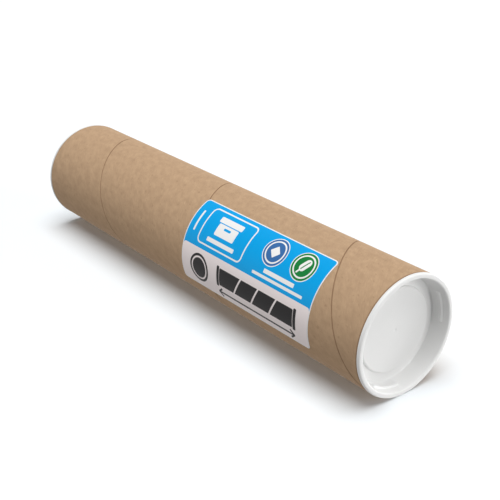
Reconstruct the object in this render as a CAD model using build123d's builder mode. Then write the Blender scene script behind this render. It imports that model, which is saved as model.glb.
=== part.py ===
"""Cardboard mailing tube with two push-in end caps and a wrapped paper label.

The tube stands on its bottom cap: +Z runs along its axis and the origin is the
centre of the bottom cap's face. All sizes are in millimetres.
"""

import math
import os

from build123d import *

# Tube, wound from strips of kraft board
bore_diameter = 63.5
tube_wall = 1.5
tube_length = 304.8

# Seam of the outer ply, a right-handed helix where the strip's edges butt
outer_ply = 0.3
seam_gap = 0.6
seam_pitch = 110.0
seam_start_angle = 105.0
seam_run_out = 6.0

# Cap flange, which seats on the tube's cut end
flange_thickness = 2.0
flange_overhang = 0.15
rim_width = 2.75
rim_bevel = 0.6

# Cap plug, a straight skirt that grips the bore and tapers to lead in
plug_clearance = 0.05
lead_in_length = 3.0
lead_in_taper = 0.6

# Cap recess: a drafted cup with a moat around a raised middle panel
recess_depth = 8.0
recess_draft = 2.1
recess_floor_bevel = 1.2
panel_radius = 23.3
panel_rise = 1.4
panel_draft = 0.3
cap_floor = 1.4

# Grip ribs, short ridges round the recess wall that give fingertips a hold
rib_count = 3
rib_facing = 49.0
rib_length = 20.0
rib_below_seat = 2.8
rib_foot = 3.0
rib_rise = 0.9
rib_flank = 60.0

# Label, wrapped part of the way round the tube on a film of glue
label_thickness = 0.12
label_glue = 0.06
label_length = 110.0
label_arc = 52.5
label_corner = 2.5
label_below_top = 34.7
label_facing = -45.0

# Places that follow from the sizes above
bore_radius = bore_diameter / 2
tube_radius = bore_radius + tube_wall
tube_bottom = flange_thickness
tube_top = tube_bottom + tube_length

os.makedirs("parts", exist_ok=True)


# Tube: a plain wall with the outer ply's seam cut into it from end to end
with BuildPart() as tube:
    with BuildSketch(Plane.XY.offset(tube_bottom)):
        Circle(tube_radius)
        Circle(bore_radius, mode=Mode.SUBTRACT)
    extrude(amount=tube_length)

    run_out_angle = 360 * seam_run_out / seam_pitch
    seam_plane = Plane(
        origin=(0, 0, tube_bottom - seam_run_out),
        x_dir=Vector(1, 0, 0).rotate(Axis.Z, seam_start_angle - run_out_angle),
        z_dir=(0, 0, 1),
    )
    with BuildLine(seam_plane) as seam_path:
        Helix(seam_pitch, tube_length + 2 * seam_run_out, tube_radius)
    seam_edge = seam_path.edge()
    with BuildSketch(Plane(origin=seam_edge @ 0, x_dir=seam_plane.x_dir, z_dir=seam_edge % 0)):
        Rectangle(2 * outer_ply, seam_gap)
    sweep(path=seam_edge, is_frenet=True, mode=Mode.SUBTRACT)
tube.part.label = "tube"
export_step(tube.part, "parts/tube.step")


# Caps: the same moulding pushed into either end, drawn outwards from its seat on the cut end
cap_seats = {
    "top_cap": Plane(origin=(0, 0, tube_top), x_dir=(1, 0, 0), z_dir=(0, -1, 0)),
    "bottom_cap": Plane(origin=(0, 0, tube_bottom), x_dir=(1, 0, 0), z_dir=(0, 1, 0)),
}
flange_radius = tube_radius + flange_overhang
mouth_radius = flange_radius - rim_width
moat_radius = mouth_radius - recess_draft
moat_height = -recess_depth
panel_height = moat_height + panel_rise
plug_radius = bore_radius - plug_clearance
plug_depth = recess_depth + cap_floor
hollow_radius = panel_radius - cap_floor
wall_height = flange_thickness + recess_depth
wall_lean = math.degrees(math.atan(recess_draft / wall_height))
rib_radius = moat_radius + recess_draft * (recess_depth - rib_below_seat) / wall_height
rib_angle = math.degrees(rib_length / rib_radius)

for cap_name, cap_seat in cap_seats.items():
    with BuildPart() as cap:
        with BuildSketch(cap_seat) as section:
            with BuildLine():
                Polyline(
                    (0, panel_height),
                    (panel_radius, panel_height),
                    (panel_radius + panel_draft, moat_height),
                    (moat_radius, moat_height),
                    (mouth_radius, flange_thickness),
                    (flange_radius, flange_thickness),
                    (flange_radius, 0),
                    (plug_radius, 0),
                    (plug_radius, lead_in_length - plug_depth),
                    (plug_radius - lead_in_taper, -plug_depth),
                    (hollow_radius, -plug_depth),
                    (hollow_radius - panel_draft, panel_height - cap_floor),
                    (0, panel_height - cap_floor),
                    close=True,
                )
            make_face()
            chamfer(section.vertices().group_by(Axis.Y)[-1], rim_bevel)
            chamfer(section.vertices().sort_by_distance((moat_radius, moat_height))[0], recess_floor_bevel)
        revolve(axis=Axis.Z)
        for rib in range(rib_count):
            rib_start = rib_facing + 360 * rib / rib_count - rib_angle / 2
            rib_plane = Plane(
                origin=cap_seat.origin,
                x_dir=cap_seat.x_dir.rotate(Axis.Z, rib_start),
                z_dir=cap_seat.z_dir.rotate(Axis.Z, rib_start),
            )
            with BuildSketch(rib_plane):
                with Locations((rib_radius, -rib_below_seat)):
                    Trapezoid(rib_foot, 2 * rib_rise, rib_flank, rotation=90 - wall_lean)
            revolve(axis=Axis.Z, revolution_arc=rib_angle)
    cap.part.label = cap_name
    export_step(cap.part, f"parts/{cap_name}.step")


# Label: a thin sheet bent to the tube, with its four corners rounded
label_middle = tube_top - label_below_top - label_length / 2
label_angle = math.degrees(label_arc / tube_radius)
label_edge_plane = Plane(
    origin=(0, 0, label_middle),
    x_dir=Vector(1, 0, 0).rotate(Axis.Z, label_facing - label_angle / 2),
    z_dir=Vector(0, -1, 0).rotate(Axis.Z, label_facing - label_angle / 2),
)
with BuildPart() as label:
    with BuildSketch(label_edge_plane):
        with Locations((tube_radius + label_glue + label_thickness / 2, 0)):
            Rectangle(label_thickness, label_length)
    revolve(axis=Axis.Z, revolution_arc=label_angle)
    corner_edges = label.edges().filter_by(GeomType.LINE).group_by(SortBy.LENGTH)[0]
    fillet(corner_edges, radius=label_corner)
label.part.label = "label"
export_step(label.part, "parts/label.step")
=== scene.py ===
"""Looks of a spiral-wound cardboard mailing tube with two plug caps and a printed label.

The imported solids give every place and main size. Around them this script winds the board
from one helical strip of paper for each skin, moulds the caps with their true roundings,
wraps the label and prints it with plain shapes, and shows the tube lying on a pale floor.
"""

import logging
import math
from collections.abc import Callable, Iterator
from dataclasses import dataclass
from enum import Enum
from functools import partial
from typing import Any

import bmesh
import bpy
from bpy.types import ID, Material, Mesh, Node, NodeSocket, NodeTree, Object
from mathutils import Matrix, Vector


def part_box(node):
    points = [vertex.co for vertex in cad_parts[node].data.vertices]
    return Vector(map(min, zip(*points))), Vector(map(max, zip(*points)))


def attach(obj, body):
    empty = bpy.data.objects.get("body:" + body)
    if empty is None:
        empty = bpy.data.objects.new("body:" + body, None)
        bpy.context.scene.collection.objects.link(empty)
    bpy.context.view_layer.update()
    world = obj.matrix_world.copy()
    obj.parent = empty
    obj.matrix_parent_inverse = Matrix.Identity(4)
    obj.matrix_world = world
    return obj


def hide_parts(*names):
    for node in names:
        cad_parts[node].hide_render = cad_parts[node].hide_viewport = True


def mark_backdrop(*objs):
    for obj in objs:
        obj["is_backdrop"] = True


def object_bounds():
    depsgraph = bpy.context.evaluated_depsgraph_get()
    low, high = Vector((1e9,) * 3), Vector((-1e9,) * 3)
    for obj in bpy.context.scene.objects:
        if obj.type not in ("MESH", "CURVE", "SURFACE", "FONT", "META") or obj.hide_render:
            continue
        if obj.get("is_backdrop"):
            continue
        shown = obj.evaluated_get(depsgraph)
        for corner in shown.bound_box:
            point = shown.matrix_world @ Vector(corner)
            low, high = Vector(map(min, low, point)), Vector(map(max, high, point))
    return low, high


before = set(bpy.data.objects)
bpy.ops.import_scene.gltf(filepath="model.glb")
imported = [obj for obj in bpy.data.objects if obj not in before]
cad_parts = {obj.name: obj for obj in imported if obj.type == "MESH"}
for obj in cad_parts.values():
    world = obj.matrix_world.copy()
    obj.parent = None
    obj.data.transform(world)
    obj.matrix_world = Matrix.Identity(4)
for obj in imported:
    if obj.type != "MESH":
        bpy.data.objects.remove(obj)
CAD_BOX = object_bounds()

MM = 0.001
FULL_TURN = 2 * math.pi
log = logging.getLogger("mailing_tube")

# Type names of the nodes that come up most often
MATH = "ShaderNodeMath"
VECTOR = "ShaderNodeVectorMath"
COMBINE = "ShaderNodeCombineXYZ"
SEPARATE = "ShaderNodeSeparateXYZ"
NOISE = "ShaderNodeTexNoise"
RANGE = "ShaderNodeMapRange"
MIX = "ShaderNodeMix"

NodeAdder = Callable[..., Node]
Face = tuple[int, ...]


def linear(hex_colour: str) -> tuple[float, float, float, float]:
    """Turn a written sRGB colour into the linear colour a shader takes, by the standard's curve.

    Args:
        hex_colour: the colour as "#RRGGBB".

    Returns:
        Red, green, blue and a full alpha, linear.
    """
    shares = [int(hex_colour[i : i + 2], 16) / 255 for i in (1, 3, 5)]
    red, green, blue = (
        s / 12.92 if s <= 0.04045 else ((s + 0.055) / 1.055) ** 2.4 for s in shares
    )
    return red, green, blue, 1.0


def add_node(
    tree: NodeTree,
    kind: str,
    inputs: dict[str, Any] | tuple[Any, ...] = (),
    operation: str = "",
    **settings: Any,
) -> Node:
    """Add one node to a tree.

    Args:
        tree: the tree that gets the node.
        kind: the node's type name.
        inputs: what its sockets in use take, by their names or in their order. Each takes a
            plain value, a socket, a node, which gives its first output in use, or a list of these.
        operation: what a math node works out.
        **settings: the node's other properties, set before its sockets are used.

    Returns:
        The new node.
    """
    node = tree.nodes.new(kind)
    if operation:
        settings["operation"] = operation
    for name, value in settings.items():
        setattr(node, name, value)
    used = [place for place, socket in enumerate(node.inputs) if socket.enabled]
    if isinstance(inputs, dict):
        names = [node.inputs[place].name for place in used]
        used = [used[names.index(name)] for name in inputs]
        inputs = tuple(inputs.values())
    for place, value in zip(used, inputs):
        for source in value if isinstance(value, list) else [value]:
            if isinstance(source, Node):
                source = next(socket for socket in source.outputs if socket.enabled)
            if isinstance(source, NodeSocket):
                tree.links.new(source, node.inputs[place])
            else:
                node.inputs[place].default_value = source
    return node


def new_group(name: str, kind: str, inputs: dict[str, str], outputs: dict[str, str]) -> NodeTree:
    """Make an empty node group with named sockets.

    Args:
        name: the group's name.
        kind: the tree's type name.
        inputs: the name and the short type of each input socket.
        outputs: the same for each output socket.

    Returns:
        The group, without nodes.
    """
    tree = bpy.data.node_groups.new(name, kind)
    for way, sockets in (("INPUT", inputs), ("OUTPUT", outputs)):
        for label, socket in sockets.items():
            tree.interface.new_socket(label, in_out=way, socket_type=f"NodeSocket{socket}")
    return tree


def new_material(name: str) -> tuple[Material, NodeAdder]:
    """Make a material whose node tree is empty.

    Args:
        name: the material's name.

    Returns:
        The material, and add_node for its tree.
    """
    material = bpy.data.materials.new(name)
    material.use_nodes = True
    material.node_tree.nodes.clear()
    return material, partial(add_node, material.node_tree)


def new_object(name: str, data: ID) -> Object:
    """Make an object at the origin.

    Args:
        name: the object's name.
        data: its mesh, light or camera.

    Returns:
        The object, linked into the scene.
    """
    made = bpy.data.objects.new(name, data)
    bpy.context.scene.collection.objects.link(made)
    return made


def finish_mesh(mesh: Mesh, sharp_deg: float) -> None:
    """Turn a mesh's faces outward and shade it smooth but for its sharp edges.

    Args:
        mesh: the mesh, changed in place.
        sharp_deg: edges that turn by more than this stay sharp.
    """
    work = bmesh.new()
    work.from_mesh(mesh)
    bmesh.ops.recalc_face_normals(work, faces=work.faces)
    for face in work.faces:
        face.smooth = True
    work.to_mesh(mesh)
    work.free()
    mesh.set_sharp_from_angle(angle=math.radians(sharp_deg))
    mesh.update()


def new_piece(
    name: str, points: list[Vector], faces: list[Face], material: Material, sharp_deg: float
) -> Object:
    """Make a mesh piece with outward faces, smooth but for its sharp edges.

    Args:
        name: the piece's name.
        points: its vertices, in metres, in the row frame.
        faces: its faces as vertex numbers.
        material: its finish.
        sharp_deg: edges that turn by more than this stay sharp.

    Returns:
        The piece, linked into the scene at the origin.
    """
    mesh = bpy.data.meshes.new(name)
    mesh.from_pydata(points, [], faces)
    mesh.materials.append(material)
    finish_mesh(mesh, sharp_deg)
    return new_object(name, mesh)


@dataclass(frozen=True)
class Tint:
    """A colour laid over another as a pattern passes from one level to the next."""

    colour: str
    start: float
    full: float
    strength: float


@dataclass(frozen=True)
class Grain:
    """A fine raised grain, drawn coarser than the real one so that it shows at all."""

    size_mm: float
    detail: float
    depth_mm: float
    strength: float

    def raise_from(self, place: Any, node: NodeAdder) -> Node:
        """Raise the grain from a surface.

        Args:
            place: the coordinates that it follows, in metres.
            node: add_node for the material's tree.

        Returns:
            The bump, for the shader's normal.
        """
        scale = 1 / (self.size_mm * MM)
        noise = node(NOISE, {"Vector": place, "Scale": scale, "Detail": self.detail})
        depth = self.depth_mm * MM
        return node(
            "ShaderNodeBump", {"Strength": self.strength, "Distance": depth, "Height": noise}
        )


@dataclass(frozen=True)
class KraftBoard:
    """Matt brown kraft paper, wound and glued: soft clouds, fibres along the ply, a few flecks."""

    name: str = "kraft_board_spiral_wound"
    light: str = "#BE9F7F"
    dark: str = "#AE9072"
    roughness: float = 0.82
    specular: float = 0.25
    cloud_mm: float = 5.0
    cloud_detail: float = 3.0
    cloud_roughness: float = 0.55
    fibre_long_mm: float = 3.0
    fibre_wide_mm: float = 0.8
    fibre_detail: float = 2.0
    fibre_share: float = 0.3
    tone_range: tuple[float, float] = (0.34, 0.66)
    fleck_mm: float = 2.2
    fleck_detail: float = 1.0
    fleck: Tint = Tint("#8A6A4B", 0.34, 0.26, 0.3)
    pale_fibre: Tint = Tint("#DBC09C", 0.64, 0.8, 0.25)
    # The raw edges' tint is partly painted shade of the seam's groove and of the gap at the caps.
    raw_edge: Tint = Tint("#7C5E43", 0.5 * MM, 0.2 * MM, 0.6)
    tooth: Grain = Grain(0.7, 3.0, 0.05, 0.25)

    def make(self, uv_map: str, edge_attribute: str) -> Material:
        """Make the material.

        Args:
            uv_map: the map that runs along and across the ply, in metres.
            edge_attribute: the attribute that holds each point's distance from a raw edge.

        Returns:
            The material.
        """
        material, node = new_material(self.name)
        place = node("ShaderNodeUVMap", uv_map=uv_map)
        # Clouds of tone, where the pulp lies thicker or thinner.
        cloud = node(
            NOISE,
            {
                "Vector": place,
                "Scale": 1 / (self.cloud_mm * MM),
                "Detail": self.cloud_detail,
                "Roughness": self.cloud_roughness,
            },
        )
        # Fibres run along the ply. They are drawn several times too wide, or none would show.
        stretch = (1 / (self.fibre_long_mm * MM), 1 / (self.fibre_wide_mm * MM), 1.0)
        drawn = node("ShaderNodeMapping", {"Vector": place, "Scale": stretch})
        fibre = node(NOISE, {"Vector": drawn, "Scale": 1.0, "Detail": self.fibre_detail})
        tone = node(MIX, (self.fibre_share, cloud, fibre), data_type="FLOAT")
        spread = node(RANGE, (tone, *self.tone_range, 0.0, 1.0))
        paper = node(MIX, (spread, linear(self.dark), linear(self.light)), data_type="RGBA")
        # Bark flecks are the darkest crumbs, pale fibres the bleached ones. The ply's edges at
        # the seam and the board's cut ends are darkened: partly raw paper, which is darker, and
        # partly painted shade of the seam's groove and of the gap under the caps' flanges.
        fleck_scale = 1 / (self.fleck_mm * MM)
        fleck = node(NOISE, {"Vector": place, "Scale": fleck_scale, "Detail": self.fleck_detail})
        raw_and_gap_shade = node("ShaderNodeAttribute", attribute_name=edge_attribute).outputs["Fac"]
        tints = ((fleck, self.fleck), (fibre, self.pale_fibre), (raw_and_gap_shade, self.raw_edge))
        for source, tint in tints:
            mask = node(RANGE, (source, tint.start, tint.full, 0.0, tint.strength))
            paper = node(MIX, (mask, paper, linear(tint.colour)), data_type="RGBA")
        # The paper's tooth keeps the board matt.
        shader = node(
            "ShaderNodeBsdfPrincipled",
            {
                "Base Color": paper,
                "Roughness": self.roughness,
                "Specular IOR Level": self.specular,
                "Normal": self.tooth.raise_from(place, node),
            },
        )
        node("ShaderNodeOutputMaterial", {"Surface": shader})
        return material


@dataclass(frozen=True)
class MouldedPolyethylene:
    """Injection-moulded white polyethylene: satin, slightly waxy, with a soft edge to shadows."""

    name: str = "polyethylene_moulded_white"
    colour: str = "#E6E6E5"
    gloss_range: tuple[float, float] = (0.33, 0.49)
    scuff_mm: float = 7.0
    scuff_detail: float = 4.0
    spark_skin: Grain = Grain(1.2, 2.0, 0.04, 0.12)
    glow: float = 0.05
    glow_spread: tuple[float, float, float] = (1.0, 0.95, 0.9)
    glow_depth_mm: float = 1.5

    def make(self) -> Material:
        """Make the material.

        Returns:
            The material.
        """
        material, node = new_material(self.name)
        place = node("ShaderNodeTexCoord").outputs["Object"]
        # Handling wears the gloss unevenly, which breaks the highlights up.
        scuff_scale = 1 / (self.scuff_mm * MM)
        scuff = node(NOISE, {"Vector": place, "Scale": scuff_scale, "Detail": self.scuff_detail})
        gloss = node(RANGE, (scuff, 0.0, 1.0, *self.gloss_range))
        # The cap's skin copies the mould's, which spark erosion left finely pitted.
        shader = node(
            "ShaderNodeBsdfPrincipled",
            {
                "Base Color": linear(self.colour),
                "Roughness": gloss,
                "Subsurface Weight": self.glow,
                "Subsurface Radius": self.glow_spread,
                "Subsurface Scale": self.glow_depth_mm * MM,
                "Normal": self.spark_skin.raise_from(place, node),
            },
        )
        node("ShaderNodeOutputMaterial", {"Surface": shader})
        return material


class Ink(Enum):
    """The label's printing inks, and the bare paper."""

    PAPER = "#F3F2F1"
    BLUE = "#00A2E6"
    PALE = "#F6ECEB"
    BLACK = "#1E1C1D"
    NAVY = "#3A6BA6"
    GREEN = "#127A38"


@dataclass(frozen=True)
class Mark:
    """One printed shape: a rectangle with round corners, which is a disc where they meet.

    The centre and the size run along and across the label, in millimetres from its lower
    far corner.
    """

    ink: Ink
    centre: tuple[float, float]
    size: tuple[float, float]
    corner: float = 0.0
    turn_deg: float = 0.0


def disc(ink: Ink, centre: tuple[float, float], radius: float) -> Mark:
    """Return a round mark of that radius."""
    return Mark(ink, centre, (2 * radius, 2 * radius), radius)


@dataclass(frozen=True)
class LabelPrint:
    """The label's plain design: fields of colour, a framed box, two seals and a drawn tube.

    All sizes are in millimetres, and a place is given as a mark's centre is.
    """

    length: float
    width: float
    border: float = 0.6
    corner: float = 2.0
    pale_height: float = 24.0
    frame_centre: tuple[float, float] = (31.0, 38.2)
    frame_size: tuple[float, float] = (40.0, 23.0)
    frame_line: float = 0.9
    frame_corner: float = 3.4
    navy_seal: tuple[float, float] = (71.0, 41.6)
    green_seal: tuple[float, float] = (93.5, 41.6)
    seal_radius: float = 8.6
    leaf_turn_deg: float = 60.0
    end_centre: tuple[float, float] = (17.0, 12.4)
    side_centre: tuple[float, float] = (67.0, 14.0)
    side_size: tuple[float, float] = (62.0, 10.4)
    side_lines: tuple[float, ...] = (-15.0, 0.0, 15.0)
    side_turn_deg: float = 62.0
    side_end: float = 32.4
    arrow_height: float = 4.3
    arrow_length: float = 64.0
    arrow_line: float = 1.2
    arrow_turn_deg: float = 40.0

    def marks(self) -> Iterator[Mark]:
        """Yield every printed shape in printing order."""
        for group in (self.fields, self.framed_box, self.seals, self.drawn_tube):
            yield from group()

    def fields(self) -> Iterator[Mark]:
        """Lay out the two fields of colour inside the bare border.

        Yields:
            The blue field, then the pale one over its lower part.
        """
        middle = self.length / 2
        wide = self.length - 2 * self.border
        pale = self.pale_height - self.border
        high = self.width - 2 * self.border
        yield Mark(Ink.BLUE, (middle, self.width / 2), (wide, high), self.corner)
        yield Mark(Ink.PALE, (middle, self.border + pale / 2), (wide, pale), self.corner)

    def framed_box(self) -> Iterator[Mark]:
        """Lay out the keyline frame with a lidded box in it.

        Yields:
            A bar beside the frame, the frame, the box's lid, body and hand hole, and a bar.
        """
        u, v = self.frame_centre
        wide, high = self.frame_size
        line = self.frame_line
        yield Mark(Ink.PAPER, (u - 25.4, v), (1.4, 13.0), 0.4)
        yield Mark(Ink.PAPER, (u, v), (wide, high), self.frame_corner)
        inner = (wide - 2 * line, high - 2 * line)
        yield Mark(Ink.BLUE, (u, v), inner, self.frame_corner - line)
        yield Mark(Ink.PAPER, (u, v + 6.2), (20.0, 3.6), 0.8)
        yield Mark(Ink.PAPER, (u, v + 0.1), (17.0, 7.4), 0.8)
        yield Mark(Ink.BLUE, (u, v + 1.5), (6.0, 1.5), 0.7)
        yield Mark(Ink.PAPER, (u, v - 7.2), (24.0, 2.4), 0.5)

    def seals(self) -> Iterator[Mark]:
        """Lay out the two round seals and the two bars under them.

        Yields:
            Each seal's rings, the square, the leaf with its midrib and stalk, and the bars.
        """
        for centre, ink in ((self.navy_seal, Ink.NAVY), (self.green_seal, Ink.GREEN)):
            for inset, colour in ((0.0, Ink.PAPER), (0.5, ink), (1.7, Ink.PAPER), (2.6, ink)):
                yield disc(colour, centre, self.seal_radius - inset)
        yield Mark(Ink.PAPER, self.navy_seal, (5.2, 5.2), 0.4, 45.0)
        u, v = self.green_seal
        leaf = (u + 0.5, v + 0.8)
        yield Mark(Ink.PAPER, leaf, (8.0, 4.4), 2.2, self.leaf_turn_deg)
        yield Mark(Ink.GREEN, leaf, (6.4, 0.7), 0.3, self.leaf_turn_deg)
        yield Mark(Ink.PAPER, (u - 2.0, v - 3.5), (2.6, 1.0), 0.4, self.leaf_turn_deg)
        yield Mark(Ink.PAPER, (82.0, 30.2), (24.0, 2.3), 0.4)
        yield Mark(Ink.PAPER, (82.0, 26.9), (40.0, 1.6), 0.4)

    def drawn_tube(self) -> Iterator[Mark]:
        """Lay out the black pictures on the pale field.

        Yields:
            The tube's end, its side with its turns and rims, and the arrow of its length.
        """
        for ink, radius in ((Ink.BLACK, 8.6), (Ink.PALE, 7.1), (Ink.BLACK, 6.1)):
            yield disc(ink, self.end_centre, radius)
        u, v = self.side_centre
        yield Mark(Ink.BLACK, (u, v), self.side_size, 0.8)
        for step in self.side_lines:
            yield Mark(Ink.PALE, (u + step, v), (13.0, 1.1), 0.0, self.side_turn_deg)
        for step in (-self.side_end, self.side_end):
            yield Mark(Ink.BLACK, (u + step, v), (2.2, 12.2), 0.7)
        yield Mark(Ink.BLACK, (u, self.arrow_height), (self.arrow_length, self.arrow_line))
        reach = self.arrow_length / 2 - 1.4
        for way in (1.0, -1.0):
            for tilt in (-1.0, 1.0):
                tip = (u - reach * way, self.arrow_height + self.arrow_line * tilt)
                turn = self.arrow_turn_deg * tilt * way
                yield Mark(Ink.BLACK, tip, (4.2, self.arrow_line), 0.2, turn)


@dataclass(frozen=True)
class PrintedPaper:
    """Satin label paper with solid inks: crisp edges, a soft sheen and a bare white rim."""

    name: str = "label_paper_offset_printed"
    roughness: float = 0.42
    specular: float = 0.12
    ink_edge_mm: float = 0.05
    fibre: Grain = Grain(0.6, 3.0, 0.03, 0.08)

    def mark_group(self) -> NodeTree:
        """Make the group that tells whether a point lies inside one printed mark.

        Returns:
            The group, in millimetres. Core is half the mark's size without its corners.
        """
        vectors = dict.fromkeys(("Point", "Centre", "Core"), "Vector")
        numbers = dict.fromkeys(("Corner", "Turn"), "Float")
        tree = new_group("printed_mark", "ShaderNodeTree", vectors | numbers, {"Mask": "Float"})
        node = partial(add_node, tree)
        given = node("NodeGroupInput").outputs
        moved = node(VECTOR, (given["Point"], given["Centre"]), "SUBTRACT")
        turned = node(
            "ShaderNodeVectorRotate",
            {"Vector": moved, "Angle": given["Turn"]},
            rotation_type="Z_AXIS",
            invert=True,
        )
        folded = node(VECTOR, (turned,), "ABSOLUTE")
        past = node(VECTOR, (folded, given["Core"]), "SUBTRACT")
        outer = node(VECTOR, (past, (0.0, 0.0, 0.0)), "MAXIMUM")
        away = node(VECTOR, (outer,), "LENGTH")
        split = node(SEPARATE, (past,)).outputs
        nearer = node(MATH, (split["X"], split["Y"]), "MAXIMUM")
        within = node(MATH, (nearer, 0.0), "MINIMUM")
        edge = node(MATH, (away, within), "ADD")
        outside = node(MATH, (edge, given["Corner"]), "SUBTRACT")
        mask = node(RANGE, (outside, self.ink_edge_mm, -self.ink_edge_mm, 0.0, 1.0))
        node("NodeGroupOutput", {"Mask": mask})
        return tree

    def make(self, uv_map: str, design: LabelPrint) -> Material:
        """Make the material.

        Args:
            uv_map: the map that runs along and across the label, in metres.
            design: what is printed on it.

        Returns:
            The material.
        """
        material, node = new_material(self.name)
        place = node("ShaderNodeUVMap", uv_map=uv_map)
        point = node(VECTOR, {"Vector": place, "Scale": 1 / MM}, "SCALE")
        group = self.mark_group()
        colour: Any = linear(Ink.PAPER.value)
        for mark in design.marks():
            core = [side / 2 - mark.corner for side in mark.size]
            shape = {
                "Point": point,
                "Centre": (*mark.centre, 0.0),
                "Core": (*core, 0.0),
                "Corner": mark.corner,
                "Turn": math.radians(mark.turn_deg),
            }
            mask = node("ShaderNodeGroup", shape, node_tree=group)
            colour = node(MIX, (mask, colour, linear(mark.ink.value)), data_type="RGBA")
        # The paper's fibre shows through the ink.
        shader = node(
            "ShaderNodeBsdfPrincipled",
            {
                "Base Color": colour,
                "Roughness": self.roughness,
                "Specular IOR Level": self.specular,
                "Normal": self.fibre.raise_from(place, node),
            },
        )
        node("ShaderNodeOutputMaterial", {"Surface": shader})
        return material


class Wall(Enum):
    """The board's two skins, with the way their relief moves the radius."""

    OUTER = -1.0
    INNER = 1.0


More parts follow.
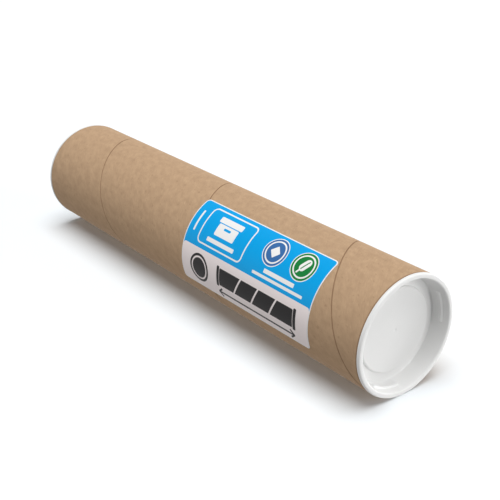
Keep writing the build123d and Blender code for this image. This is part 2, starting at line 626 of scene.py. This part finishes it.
class Winding:
    """The node tree that winds the board's skins, closes its cut ends and joins them."""

    GAP_FLOOR_SHARE = 0.6
    ROW_CROWDING = 3.0
    MERGE_MM = 0.002
    RELIEF_SIZES = ("Length", "Pitch", "Ply", "Seam Gap", "Lip", "Lip Width", "Cut Round")

    def __init__(self, sizes: dict[str, Any], uv_map: str, edge_attribute: str) -> None:
        """Start the tree with a named input for every size.

        Args:
            sizes: the tree's inputs, whose types give the sockets'.
            uv_map: the name of the map that stores each point's place on the ply.
            edge_attribute: the name of the attribute that stores its distance from a raw edge.
        """
        sockets = {name: type(value).__name__.title() for name, value in sizes.items()}
        geometry = {"Geometry": "Geometry"}
        self.tree = new_group("wound_board_tube", "GeometryNodeTree", sockets, geometry)
        self.node: NodeAdder = partial(add_node, self.tree)
        self.given = self.node("NodeGroupInput").outputs
        self.relief = self.relief_group()
        self.uv_map = uv_map
        self.edge_attribute = edge_attribute

    def build(self) -> NodeTree:
        """Wind both skins, close both cut ends, join them and dress the result.

        Returns:
            The finished tree.
        """
        node = self.node
        skins = [self.add_skin(wall) for wall in Wall]
        ends = [self.add_end(height) for height in (0.0, self.given["Length"])]
        joined = node("GeometryNodeJoinGeometry", (skins + ends,))
        gap = self.MERGE_MM * MM
        merged = node("GeometryNodeMergeByDistance", {"Geometry": joined, "Distance": gap})
        real = node("GeometryNodeRealizeInstances", (merged,))
        material = self.given["Material"]
        dressed = node("GeometryNodeSetMaterial", {"Geometry": real, "Material": material})
        node("NodeGroupOutput", (dressed,))
        return self.tree

    def relief_group(self) -> NodeTree:
        """Make the group that gives a skin's relief: its seam, the seam's lips and the cut ends.

        Returns:
            The group, from unwrapped turns and height to the inset, the distance from a raw
            edge and the place on the ply.
        """
        tree = new_group(
            "ply_relief",
            "GeometryNodeTree",
            dict.fromkeys(("Turns", "Height", "Radius", *self.RELIEF_SIZES), "Float"),
            {"Inset": "Float", "Edge Distance": "Float", "Place": "Vector"},
        )
        node = partial(add_node, tree)
        given = node("NodeGroupInput").outputs
        # One turn of the strip unrolls into a right triangle of circumference and pitch.
        around = node(MATH, (given["Radius"], FULL_TURN), "MULTIPLY")
        unrolled = node(COMBINE, (around, given["Pitch"]))
        strip = node(VECTOR, (unrolled,), "LENGTH")
        slope = node(MATH, (around, strip), "DIVIDE")
        ply_width = node(MATH, (given["Pitch"], slope), "MULTIPLY")
        climbed = node(MATH, (given["Height"], given["Pitch"]), "DIVIDE")
        ahead = node(MATH, (climbed, given["Turns"]), "SUBTRACT")
        share = node(MATH, (ahead,), "FRACT")
        rest = node(MATH, (1.0, share), "SUBTRACT")
        nearest = node(MATH, (share, rest), "MINIMUM")
        distance = node(MATH, (nearest, ply_width), "MULTIPLY")
        half_gap = node(MATH, (given["Seam Gap"], 0.5), "MULTIPLY")
        gap_floor = node(MATH, (half_gap, self.GAP_FLOOR_SHARE), "MULTIPLY")
        lip_end = node(MATH, (half_gap, given["Lip Width"]), "ADD")
        far_end = node(MATH, (given["Length"], given["Height"]), "SUBTRACT")
        cut = node(MATH, (given["Height"], far_end), "MINIMUM")
        steps = (
            (distance, gap_floor, half_gap, given["Ply"]),
            (distance, half_gap, lip_end, given["Lip"]),
            (cut, 0.0, given["Cut Round"], given["Cut Round"]),
        )
        inset: Any = 0.0
        for source, start, end, depth in steps:
            limits = (source, start, end, depth, 0.0)
            step = node(RANGE, limits, interpolation_type="SMOOTHSTEP")
            inset = node(MATH, (inset, step), "ADD")
        # The distance from a raw edge also places the painted shade of the seam's groove and of
        # the gap at the caps.
        past_cut = node(MATH, (cut, given["Cut Round"]), "SUBTRACT")
        raw_edge = node(MATH, (distance, past_cut), "MINIMUM")
        along = node(MATH, (given["Turns"], strip), "MULTIPLY")
        across = node(MATH, (ahead, ply_width), "MULTIPLY")
        place = node(COMBINE, (along, across))
        node("NodeGroupOutput", {"Inset": inset, "Edge Distance": raw_edge, "Place": place})
        return tree

    def add_relief(self, wall: Wall, turns: Node, height: Any) -> tuple[Node, Node]:
        """Add one skin's relief and the radius that follows from it.

        Args:
            wall: the skin.
            turns: turns since that skin's seam started.
            height: height above the far cut end.

        Returns:
            The relief and the radius.
        """
        radius = self.given[f"{wall.name.title()} Radius"]
        sizes = {name: self.given[name] for name in self.RELIEF_SIZES}
        places = {"Turns": turns, "Height": height, "Radius": radius}
        skin = self.node("GeometryNodeGroup", places | sizes, node_tree=self.relief)
        inset = skin.outputs["Inset"]
        return skin, self.node(MATH, (inset, wall.value, radius), "MULTIPLY_ADD")

    def add_sheet(
        self, grid: Node, skin: Node, turned: Node, radius: Node, height: Node
    ) -> Node:
        """Store a flat grid's place on the ply, then roll it into shape.

        Args:
            grid: the flat grid.
            skin: the relief whose place and edge distance are stored.
            turned: each point's angle, in turns.
            radius: each point's distance from the axis.
            height: each point's height in the row frame.

        Returns:
            The rolled sheet.
        """
        node = self.node
        sheet = grid
        stores = (
            (self.uv_map, skin.outputs["Place"], "FLOAT2", "CORNER"),
            (self.edge_attribute, skin.outputs["Edge Distance"], "FLOAT", "POINT"),
        )
        for name, value, kind, domain in stores:
            sheet = node(
                "GeometryNodeStoreNamedAttribute",
                {"Geometry": sheet, "Name": name, "Value": value},
                data_type=kind,
                domain=domain,
            )
        angle = node(MATH, (turned, FULL_TURN), "MULTIPLY")
        east = node(MATH, (angle,), "COSINE")
        north = node(MATH, (angle,), "SINE")
        unit = node(COMBINE, (east, north))
        flat = node(VECTOR, {"Vector": unit, "Scale": radius}, "SCALE")
        lift = node(COMBINE, {"Z": height})
        point = node(VECTOR, (flat, lift), "ADD")
        return node("GeometryNodeSetPosition", {"Geometry": sheet, "Position": point})

    def add_skin(self, wall: Wall) -> Node:
        """Wind one skin as a strip, clipped square at both cut ends.

        Args:
            wall: the skin.

        Returns:
            The wound skin.
        """
        node, given = self.node, self.given
        grid = node("GeometryNodeMeshGrid", (1.0, 1.0, given["Columns"], given["Rows"]))
        place = node(SEPARATE, (node("GeometryNodeInputPosition"),)).outputs
        along = node(MATH, (place["X"], 0.5), "ADD")
        turns = node(MATH, (along, given["Turns"], -1.0), "MULTIPLY_ADD")
        # Rows crowd towards the strip's edges, where the seam needs them.
        signed = node(MATH, (place["Y"], 2.0), "MULTIPLY")
        size = node(MATH, (signed,), "ABSOLUTE")
        inward = node(MATH, (1.0, size), "SUBTRACT")
        crowd = node(MATH, (inward, self.ROW_CROWDING), "POWER")
        outward = node(MATH, (1.0, crowd), "SUBTRACT")
        side = node(MATH, (signed,), "SIGN")
        spread = node(MATH, (outward, side), "MULTIPLY")
        share = node(MATH, (spread, 0.5, 0.5), "MULTIPLY_ADD")
        edges = []
        for late in (0.0, 1.0):
            turn = node(MATH, (turns, late), "ADD")
            climb = node(MATH, (turn, given["Pitch"]), "MULTIPLY")
            edges.append(node("ShaderNodeClamp", (climb, 0.0, given["Length"])))
        height = node(MIX, (share, *edges), data_type="FLOAT")
        skin, radius = self.add_relief(wall, turns, height)
        turned = node(MATH, (turns, given[f"{wall.name.title()} Start"]), "ADD")
        risen = node(MATH, (height, given["Base"]), "ADD")
        return self.add_sheet(grid, skin, turned, radius, risen)

    def add_end(self, height: Any) -> Node:
        """Close the board's cut end between the two skins.

        Args:
            height: the end's height above the far cut end.

        Returns:
            The ring of cut board.
        """
        node, given = self.node, self.given
        grid = node("GeometryNodeMeshGrid", (1.0, 1.0, given["End Columns"], given["End Rows"]))
        place = node(SEPARATE, (node("GeometryNodeInputPosition"),)).outputs
        turns = node(MATH, (place["X"], 0.5), "ADD")
        share = node(MATH, (place["Y"], 0.5), "ADD")
        turned = node(MATH, (turns, given["Outer Start"]), "ADD")
        inner_turns = node(MATH, (turned, given["Inner Start"]), "SUBTRACT")
        skin, outer = self.add_relief(Wall.OUTER, turns, height)
        inner = self.add_relief(Wall.INNER, inner_turns, height)[1]
        radius = node(MIX, (share, inner, outer), data_type="FLOAT")
        risen = node(MATH, (height, given["Base"]), "ADD")
        return self.add_sheet(grid, skin, turned, radius, risen)


@dataclass
class WoundTube:
    """The board tube, wound by Geometry Nodes from one helical strip for each skin."""

    radius: float
    base: float
    length: float
    wall_mm: float = 1.5
    pitch_mm: float = 110.0
    ply_mm: float = 0.3
    seam_gap_mm: float = 0.6
    lip_mm: float = 0.05
    lip_width_mm: float = 1.2
    cut_round_mm: float = 0.3
    outer_start_deg: float = 105.0
    inner_start_deg: float = 225.0
    columns_per_turn: int = 180
    rows: int = 41
    end_rows: int = 6
    sharp_deg: float = 40.0
    uv_map: str = "ply_map"
    edge_attribute: str = "raw_edge_distance"

    def build(self, finish: KraftBoard) -> Object:
        """Wind the tube and dress it.

        Args:
            finish: the board's finish.

        Returns:
            The finished piece, as a plain mesh.
        """
        turns = 1 + self.length / (self.pitch_mm * MM)
        columns = math.ceil(turns * self.columns_per_turn)
        sizes = {
            "Outer Radius": self.radius,
            "Inner Radius": self.radius - self.wall_mm * MM,
            "Base": self.base,
            "Length": self.length,
            "Pitch": self.pitch_mm * MM,
            "Ply": self.ply_mm * MM,
            "Seam Gap": self.seam_gap_mm * MM,
            "Lip": self.lip_mm * MM,
            "Lip Width": self.lip_width_mm * MM,
            "Cut Round": self.cut_round_mm * MM,
            "Outer Start": self.outer_start_deg / 360,
            "Inner Start": self.inner_start_deg / 360,
            "Turns": columns / self.columns_per_turn,
            "Columns": columns + 1,
            "Rows": self.rows,
            "End Columns": self.columns_per_turn + 1,
            "End Rows": self.end_rows,
            "Material": finish.make(self.uv_map, self.edge_attribute),
        }
        tree = Winding(sizes, self.uv_map, self.edge_attribute).build()
        piece = new_object("wound_tube", bpy.data.meshes.new("wound_tube_start"))
        modifier = piece.modifiers.new("winding", "NODES")
        modifier.node_group = tree
        for item in tree.interface.items_tree:
            if item.in_out == "INPUT":
                modifier[item.identifier] = sizes[item.name]
        graph = bpy.context.evaluated_depsgraph_get()
        mesh = bpy.data.meshes.new_from_object(piece.evaluated_get(graph))
        piece.modifiers.clear()
        mesh.name = "wound_tube"
        piece.data = mesh
        finish_mesh(mesh, self.sharp_deg)
        return piece


class End(Enum):
    """The tube's two ends, each with its outward way along the axis."""

    TOP = 1.0
    BOTTOM = -1.0


@dataclass(frozen=True)
class Corner:
    """One corner of a turned outline, in millimetres, with the radius that rounds it."""

    radius: float
    height: float
    rounding: float = 0.0


@dataclass
class PlugCap:
    """One moulded plug cap: flange, tapered skirt, drafted recess with ribs and raised panel."""

    end: End
    seat: float
    flange_radius: float
    flange_thickness: float
    flange_rounding_mm: float = 0.45
    rim_width_mm: float = 2.75
    rim_rounding_mm: float = 0.9
    recess_depth_mm: float = 8.0
    recess_draft_mm: float = 2.1
    moat_rounding_mm: float = 0.6
    rib_count: int = 3
    rib_facing_deg: float = 49.0
    rib_length_mm: float = 20.0
    rib_below_seat_mm: float = 2.8
    rib_width_mm: float = 2.1
    rib_rise_mm: float = 0.9
    rib_fullness: int = 3
    rib_rows: int = 14
    panel_radius_mm: float = 23.3
    panel_rise_mm: float = 1.4
    panel_draft_mm: float = 0.3
    panel_rounding_mm: float = 1.1
    panel_foot_rounding_mm: float = 0.45
    floor_mm: float = 1.4
    plug_radius_mm: float = 31.7
    neck_rounding_mm: float = 0.15
    lead_in_mm: float = 3.0
    lead_in_taper_mm: float = 0.6
    lead_in_rounding_mm: float = 1.5
    under_rounding_mm: float = 0.5
    gate_radius_mm: float = 1.1
    gate_floor_radius_mm: float = 0.44
    gate_depth_mm: float = 0.18
    gate_rounding_mm: float = 0.8
    segments: int = 360
    arc_steps: int = 6
    sharp_deg: float = 50.0

    def corners(self) -> list[Corner]:
        """Lay out the half section.

        Returns:
            Its corners from the panel's middle to the hollow's, heights outward from the seat.
        """
        rim = self.flange_radius / MM
        top = self.flange_thickness / MM
        mouth = rim - self.rim_width_mm
        moat = mouth - self.recess_draft_mm
        deep = -self.recess_depth_mm
        panel = deep + self.panel_rise_mm
        gate = panel - self.gate_depth_mm
        foot = self.panel_radius_mm + self.panel_draft_mm
        under = deep - self.floor_mm
        hollow = under + self.panel_rise_mm
        hidden = self.panel_radius_mm - self.floor_mm
        plug = self.plug_radius_mm
        return [
            Corner(0.0, gate),
            Corner(self.gate_floor_radius_mm, gate, self.gate_rounding_mm),
            Corner(self.gate_radius_mm, panel, self.gate_rounding_mm),
            Corner(self.panel_radius_mm, panel, self.panel_rounding_mm),
            Corner(foot, deep, self.panel_foot_rounding_mm),
            Corner(moat, deep, self.moat_rounding_mm),
            *self.rib_corners(Corner(moat, deep), Corner(mouth, top)),
            Corner(mouth, top, self.rim_rounding_mm),
            Corner(rim, top, self.rim_rounding_mm),
            Corner(rim, 0.0, self.flange_rounding_mm),
            Corner(plug, 0.0, self.neck_rounding_mm),
            Corner(plug, under + self.lead_in_mm, self.lead_in_rounding_mm),
            Corner(plug - self.lead_in_taper_mm, under, self.under_rounding_mm),
            Corner(hidden, under, self.under_rounding_mm),
            Corner(hidden - self.panel_draft_mm, hollow, self.under_rounding_mm),
            Corner(0.0, hollow),
        ]

    def rib_corners(self, low: Corner, high: Corner) -> list[Corner]:
        """Divide the recess wall where the ribs rise from it.

        Args:
            low: the wall's lower end.
            high: the wall's upper end.

        Returns:
            Corners on the straight wall, from the ribs' lower foot to the upper one.
        """
        corners = []
        for row in range(self.rib_rows + 1):
            height = (row / self.rib_rows - 0.5) * self.rib_width_mm - self.rib_below_seat_mm
            share = (height - low.height) / (high.height - low.height)
            corners.append(Corner(low.radius + share * (high.radius - low.radius), height))
        return corners

    def rib_rise(self, radius: float, height: float, angle: float) -> float:
        """Tell how far a rib stands out from the recess wall at one place.

        Args:
            radius: the place's distance from the axis, in millimetres.
            height: its height above the seat, in millimetres.
            angle: its angle round the axis, in radians.

        Returns:
            The rise in millimetres, which falls off smoothly to the rib's rounded outline.
        """
        half_width = self.rib_width_mm / 2
        aside = abs(height + self.rib_below_seat_mm)
        if aside > half_width or radius > self.flange_radius / MM - self.rim_width_mm:
            return 0.0
        spacing = FULL_TURN / self.rib_count
        turned = (angle - math.radians(self.rib_facing_deg)) % spacing
        along = radius * min(turned, spacing - turned)
        past_end = max(along - self.rib_length_mm / 2 + half_width, 0.0)
        share = min(math.hypot(past_end, aside) / half_width, 1.0)
        return self.rib_rise_mm * (1.0 - share**self.rib_fullness)

    def outline(self) -> list[tuple[float, float]]:
        """Round the half section's corners.

        Returns:
            Each point's distance from the axis and height above the seat, in millimetres.
        """
        corners = self.corners()
        points = [(corners[0].radius, corners[0].height)]
        for before, here, after in zip(corners, corners[1:], corners[2:]):
            points.extend(self.rounded(before, here, after))
        points.append((corners[-1].radius, corners[-1].height))
        return points

    def rounded(self, before: Corner, here: Corner, after: Corner) -> list[tuple[float, float]]:
        """Round one corner with an arc that touches both its sides.

        Args:
            before: the corner before it.
            here: the corner.
            after: the corner after it.

        Returns:
            The arc's points.
        """
        if not here.rounding:
            return [(here.radius, here.height)]
        point = Vector((here.radius, here.height))
        back = (Vector((before.radius, before.height)) - point).normalized()
        ahead = (Vector((after.radius, after.height)) - point).normalized()
        half = back.angle(ahead) / 2
        reach = here.rounding / math.tan(half)
        middle = point + (back + ahead).normalized() * (here.rounding / math.sin(half))
        start = point + back * reach - middle
        sweep = math.pi - 2 * half
        way = 1.0 if back.x * ahead.y - back.y * ahead.x < 0 else -1.0
        points = []
        for step in range(self.arc_steps + 1):
            turned = Matrix.Rotation(way * sweep * step / self.arc_steps, 2) @ start
            points.append(tuple(middle + turned))
        return points

    def build(self, material: Material) -> Object:
        """Turn the section round the axis, closed at both poles.

        Args:
            material: the cap's finish.

        Returns:
            The finished piece.
        """
        outline = self.outline()
        points: list[Vector] = []
        faces: list[Face] = []
        heights = [self.seat + self.end.value * height * MM for _, height in outline]
        ring = self.segments
        for (radius, level), height in zip(outline[1:-1], heights[1:-1]):
            for step in range(ring):
                angle = FULL_TURN * step / ring
                away = (radius - self.rib_rise(radius, level, angle)) * MM
                points.append(Vector((away * math.cos(angle), away * math.sin(angle), height)))
        last = len(points) - ring
        poles = (len(points), len(points) + 1)
        points.append(Vector((0.0, 0.0, heights[0])))
        points.append(Vector((0.0, 0.0, heights[-1])))
        for step in range(ring):
            other = (step + 1) % ring
            for low in range(0, last, ring):
                high = low + ring
                faces.append((low + step, low + other, high + other, high + step))
            faces.append((poles[0], other, step))
            faces.append((poles[1], last + step, last + other))
        name = f"{self.end.name.lower()}_plug_cap"
        return new_piece(name, points, faces, material, self.sharp_deg)


@dataclass
class WrappedLabel:
    """The printed label: a thin closed sheet wrapped on the tube, with rounded corners."""

    tube_radius: float
    outer_radius: float
    low: float
    high: float
    arc_mm: float = 52.5
    corner_mm: float = 2.5
    facing_deg: float = -45.0
    glue_mm: float = 0.01
    columns: int = 40
    rows: int = 60
    sharp_deg: float = 40.0
    uv_map: str = "print_map"

    def build(self, finish: PrintedPaper) -> Object:
        """Wrap the label and print it.

        Args:
            finish: the paper's finish.

        Returns:
            The finished piece.
        """
        length = self.high - self.low
        design = LabelPrint(length / MM, self.arc_mm)
        flat = list(self.flat_points(length))
        points: list[Vector] = []
        for radius in (self.outer_radius, self.tube_radius + self.glue_mm * MM):
            points.extend(self.wrapped(u, v, radius) for u, v in flat)
        wide, tall = self.columns + 1, self.rows + 1
        back = wide * tall
        faces: list[Face] = []
        for row in range(self.rows):
            for column in range(self.columns):
                a = row * wide + column
                faces.append((a, a + 1, a + wide + 1, a + wide))
                faces.append((back + a, back + a + wide, back + a + wide + 1, back + a + 1))
        rim = [*range(wide), *(row * wide + wide - 1 for row in range(1, tall))]
        rim += range(back - 2, back - wide - 1, -1)
        rim += (row * wide for row in range(tall - 2, 0, -1))
        for here, there in zip(rim, rim[1:] + rim[:1]):
            faces.append((there, here, back + here, back + there))
        material = finish.make(self.uv_map, design)
        piece = new_piece("wrapped_label", points, faces, material, self.sharp_deg)
        layer = piece.data.uv_layers.new(name=self.uv_map)
        for loop in piece.data.loops:
            layer.uv[loop.index].vector = flat[loop.vertex_index % back]
        return piece

    def flat_points(self, length: float) -> Iterator[tuple[float, float]]:
        """Lay out the sheet's points row by row, rows drawn in at the rounded corners.

        Args:
            length: the label's length along the tube, in metres.

        Yields:
            Each point's place along and across the flat sheet, in metres.
        """
        width, corner = self.arc_mm * MM, self.corner_mm * MM
        for row in range(self.rows + 1):
            # Rows crowd towards both edges, so that the corners come out round.
            v = width * (1 - math.cos(math.pi * row / self.rows)) / 2
            past = max(corner - min(v, width - v), 0.0)
            inset = corner - math.sqrt(max(corner**2 - past**2, 0.0))
            for column in range(self.columns + 1):
                yield inset + (length - 2 * inset) * column / self.columns, v

    def wrapped(self, u: float, v: float, radius: float) -> Vector:
        """Return the tube's place, at that radius, for a place along and across the flat sheet."""
        angle = math.radians(self.facing_deg) + (self.arc_mm * MM / 2 - v) / self.tube_radius
        return Vector((radius * math.cos(angle), radius * math.sin(angle), self.low + u))


@dataclass(frozen=True)
class Lamp:
    """One far, soft light, which lights every place alike.

    It comes from a direction of the lying tube and looks as wide as its spread: wider gives
    softer shadows. Its share is how bright it leaves a white surface turned straight to it.
    """

    name: str
    way: tuple[float, float, float]
    spread_deg: float
    share: float


@dataclass
class Studio:
    """The setting: the tube lies on a pale floor and the camera looks down at its near end.

    Directions are given for the lying tube: along its axis towards the near end, sideways,
    and up from the floor.
    """

    radius: float
    far_end: float
    up_deg: float = -112.75
    azimuth_deg: float = -38.419
    elevation_deg: float = 24.561
    distance_mm: float = 584.02
    aim_mm: float = 150.0
    aside_mm: float = 19.70
    above_mm: float = -8.26
    lens_mm: float = 69.08
    sensor_mm: float = 36.0
    floor_colour: str = "#F8FCFF"
    bounce_colour: str = "#8E8E8E"
    floor_size: float = 6.0
    floor_gap_mm: float = 0.3
    sky_colour: str = "#FFFFFF"
    sky_strength: float = 0.17
    lamps: tuple[Lamp, ...] = (
        Lamp("overhead_key_light", (0.04, -0.05, 0.98), 52.0, 0.835),
        Lamp("near_end_oblique_light", (0.83, 0.48, 0.2), 20.0, 0.26),
        Lamp("near_end_frontal_light", (0.97, 0.18, 0.1), 12.0, 0.24),
        Lamp("near_side_fill_light", (-0.4, -0.9, 0.15), 50.0, 0.22),
        Lamp("far_side_strip_light", (0.3, 0.94, -0.1), 12.0, 0.2),
        Lamp("rear_fill_light", (0.1, 0.74, -0.67), 60.0, 0.48),
    )

    def lying(self, along: float, aside: float, up: float) -> Vector:
        """Turn a direction of the lying tube into the row frame.

        Args:
            along: share along the axis.
            aside: share sideways.
            up: share upwards.

        Returns:
            The direction, as long as it was given.
        """
        angle = math.radians(self.up_deg)
        upward = Vector((math.cos(angle), math.sin(angle), 0.0))
        axis = Vector((0.0, 0.0, 1.0))
        return axis * along + upward.cross(axis) * aside + upward * up

    def middle(self) -> Vector:
        """Return the point on the axis that the camera is aimed from."""
        return Vector((0.0, 0.0, self.far_end + self.aim_mm * MM))

    def build(self) -> None:
        """Set up the floor, the light and the camera."""
        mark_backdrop(self.floor(), self.camera(), *(self.hang(lamp) for lamp in self.lamps))
        self.sky()

    def floor(self) -> Object:
        """Lay the floor under the lying tube, seen from above only.

        Returns:
            The floor.
        """
        half = self.floor_size / 2
        under = self.middle() + self.lying(0.0, 0.0, -(self.radius + self.floor_gap_mm * MM))
        corners = ((-half, -half), (half, -half), (half, half), (-half, half))
        points = [under + self.lying(along, aside, 0.0) for along, aside in corners]
        mesh = bpy.data.meshes.new("floor")
        mesh.from_pydata(points, [], [(0, 1, 2, 3)])
        material, node = new_material("floor_white_paper_sweep")
        # The tube's underside sees a greyer floor than the camera does.
        bounce = node("ShaderNodeLightPath").outputs["Is Diffuse Ray"]
        tones = (linear(self.floor_colour), linear(self.bounce_colour))
        tone = node(MIX, (bounce, *tones), data_type="RGBA")
        paper = node(
            "ShaderNodeBsdfPrincipled",
            {"Base Color": tone, "Roughness": 1.0, "Specular IOR Level": 0.0},
        )
        # From behind the floor is clear, so that it hides the object from no side.
        behind = node("ShaderNodeNewGeometry").outputs["Backfacing"]
        clear = node("ShaderNodeBsdfTransparent")
        shown = node("ShaderNodeMixShader", (behind, paper, clear))
        node("ShaderNodeOutputMaterial", {"Surface": shown})
        mesh.materials.append(material)
        floor = new_object("floor", mesh)
        for ray in ("glossy", "transmission", "shadow"):
            setattr(floor, f"visible_{ray}", False)
        return floor

    def hang(self, lamp: Lamp) -> Object:
        """Hang one light.

        Args:
            lamp: the light's settings.

        Returns:
            The light.
        """
        data = bpy.data.lights.new(lamp.name, "SUN")
        data.angle = math.radians(lamp.spread_deg)
        data.energy = lamp.share * math.pi
        light = new_object(lamp.name, data)
        light.rotation_euler = self.lying(*lamp.way).to_track_quat("Z", "Y").to_euler()
        return light

    def camera(self) -> Object:
        """Place the camera where it stands for the lying tube.

        Returns:
            The camera.
        """
        azimuth = math.radians(self.azimuth_deg)
        elevation = math.radians(self.elevation_deg)
        flat = math.cos(elevation)
        back = self.lying(flat * math.cos(azimuth), flat * math.sin(azimuth), math.sin(elevation))
        right = self.lying(0.0, 0.0, 1.0).cross(back).normalized()
        up = back.cross(right)
        place = self.middle() + MM * (
            self.distance_mm * back + self.aside_mm * right + self.above_mm * up
        )
        data = bpy.data.cameras.new("camera")
        data.lens = self.lens_mm
        data.sensor_width = self.sensor_mm
        data.dof.use_dof = False
        camera = new_object("camera", data)
        turn = Matrix((right, up, back)).transposed().to_4x4()
        camera.matrix_world = Matrix.Translation(place) @ turn
        bpy.context.scene.camera = camera
        return camera

    def sky(self) -> None:
        """Set a plain white background over a softer even light."""
        world = bpy.data.worlds.new("studio")
        world.use_nodes = True
        world.node_tree.nodes.clear()
        bpy.context.scene.world = world
        node = partial(add_node, world.node_tree)
        rays = node("ShaderNodeLightPath").outputs
        seen = rays["Is Camera Ray"]
        for ray in ("Is Glossy Ray", "Is Transmission Ray"):
            seen = node(MATH, (seen, rays[ray]), "MAXIMUM")
        white = linear(self.sky_colour)
        light = node("ShaderNodeBackground", {"Color": white, "Strength": self.sky_strength})
        plain = node("ShaderNodeBackground", {"Color": white, "Strength": 1.0})
        mixed = node("ShaderNodeMixShader", (seen, light, plain))
        node("ShaderNodeOutputWorld", {"Surface": mixed})


def declare(piece: Object, body: str, node: str) -> None:
    """Tell the frame which body a piece rides, which solid it stands for.

    Args:
        piece: the finished piece.
        body: the body it moves with.
        node: the CAD solid it replaces.
    """
    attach(piece, body)
    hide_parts(node)
    log.info("%s: %d faces, rides %s", piece.name, len(piece.data.polygons), body)


def main() -> None:
    """Build every piece on the frame, then the setting."""
    logging.basicConfig(level=logging.INFO, format="%(name)s: %(message)s")
    low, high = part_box("tube")
    radius = (high.x - low.x) / 2
    tube = WoundTube(radius, low.z, high.z - low.z)
    declare(tube.build(KraftBoard()), "tube", "tube")

    plastic = MouldedPolyethylene().make()
    for end, seat in ((End.TOP, high.z), (End.BOTTOM, low.z)):
        name = f"{end.name.lower()}_cap"
        cap_low, cap_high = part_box(name)
        face = cap_high.z if end is End.TOP else cap_low.z
        cap = PlugCap(end, seat, (cap_high.x - cap_low.x) / 2, abs(face - seat))
        declare(cap.build(plastic), name, name)

    label_low, label_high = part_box("label")
    label = WrappedLabel(radius, label_high.x, label_low.z, label_high.z)
    declare(label.build(PrintedPaper()), "tube", "label")

    Studio(radius, low.z).build()
    bpy.context.scene.view_settings.view_transform = "Standard"
    sizes = {"cad": CAD_BOX, "visual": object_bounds()}
    plain = {name: [list(corner) for corner in box] for name, box in sizes.items()}
    log.info("sizes: %s", plain)


if __name__ == "__main__":
    main()
